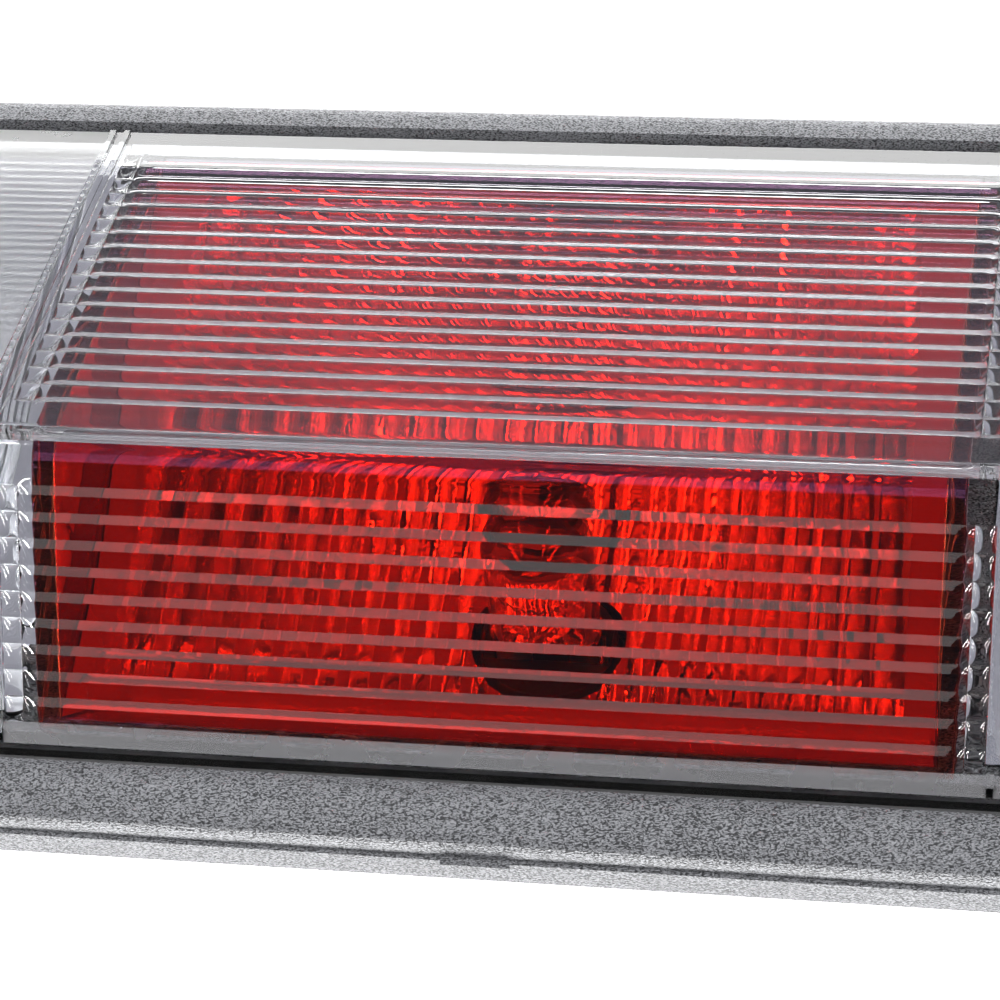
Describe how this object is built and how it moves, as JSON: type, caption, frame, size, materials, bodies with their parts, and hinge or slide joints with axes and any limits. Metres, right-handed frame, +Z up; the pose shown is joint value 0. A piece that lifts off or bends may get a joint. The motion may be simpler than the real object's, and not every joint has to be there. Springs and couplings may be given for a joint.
{
  "type": "third brake light",
  "caption": "Cab-mounted third brake light: clear ribbed wedge lens over a red inner lens, with a cargo lamp on each side and turn-to-release bulb sockets behind.",
  "frame": {"origin": "centre of the four mounting screw holes, in the plane where the gasket and screw bosses meet the cab", "axes": "+Z up as installed, -Y out of the lens and away from the cab, +X along the lamp, to the right for someone who stands behind the vehicle"},
  "size_m": [0.429, 0.0981, 0.1165],
  "materials": {
    "grained_plastic": "fine leather grain, grey",
    "clear_lens": "clear moulded acrylic with ribs",
    "red_lens": "clear red acrylic",
    "reflector_silver": "vacuum-metallised, fluted",
    "black_sealant": "matte bead",
    "foam": "closed-cell foam",
    "screw_steel": "zinc plated",
    "black_rubber": "matte",
    "socket_plastic": "glass-filled nylon",
    "brass": "stamped strip",
    "bulb_glass": "clear glass",
    "filament_wire": "drawn wire"
  },
  "bodies": {
    "lamp": {"housing": "grained_plastic", "outer_lens": "clear_lens", "red_inner_lens": "red_lens", "stop_reflector": "reflector_silver", "cargo_reflector_left": "reflector_silver", "cargo_reflector_right": "reflector_silver", "lens_sealant": "black_sealant", "mounting_gasket": "foam", "reflector_screws": "screw_steel", "vent_caps": "black_rubber"},
    "stop_socket": {"stop_socket": "socket_plastic", "stop_socket_seal": "black_rubber", "stop_socket_contacts": "brass", "stop_bulb_glass": "bulb_glass", "stop_bulb_filament": "filament_wire"},
    "cargo_socket_left": {"cargo_socket_left": "socket_plastic", "cargo_socket_seal_left": "black_rubber", "cargo_socket_contacts_left": "brass", "cargo_bulb_glass_left": "bulb_glass", "cargo_bulb_filament_left": "filament_wire"},
    "cargo_socket_right": {"cargo_socket_right": "socket_plastic", "cargo_socket_seal_right": "black_rubber", "cargo_socket_contacts_right": "brass", "cargo_bulb_glass_right": "bulb_glass", "cargo_bulb_filament_right": "filament_wire"}
  },
  "joints": [
    {"name": "stop_socket_turn", "type": "hinge", "parent": "lamp", "child": "stop_socket", "pos_m": [0, 0.036, 0], "axis": [0, 1, 0], "range_deg": [0, 45]},
    {"name": "cargo_socket_left_turn", "type": "hinge", "parent": "lamp", "child": "cargo_socket_left", "pos_m": [-0.1249, 0.036, 0], "axis": [0, 1, 0], "range_deg": [0, 45]},
    {"name": "cargo_socket_right_turn", "type": "hinge", "parent": "lamp", "child": "cargo_socket_right", "pos_m": [0.1249, 0.036, 0], "axis": [0, 1, 0], "range_deg": [0, 45]}
  ]
}
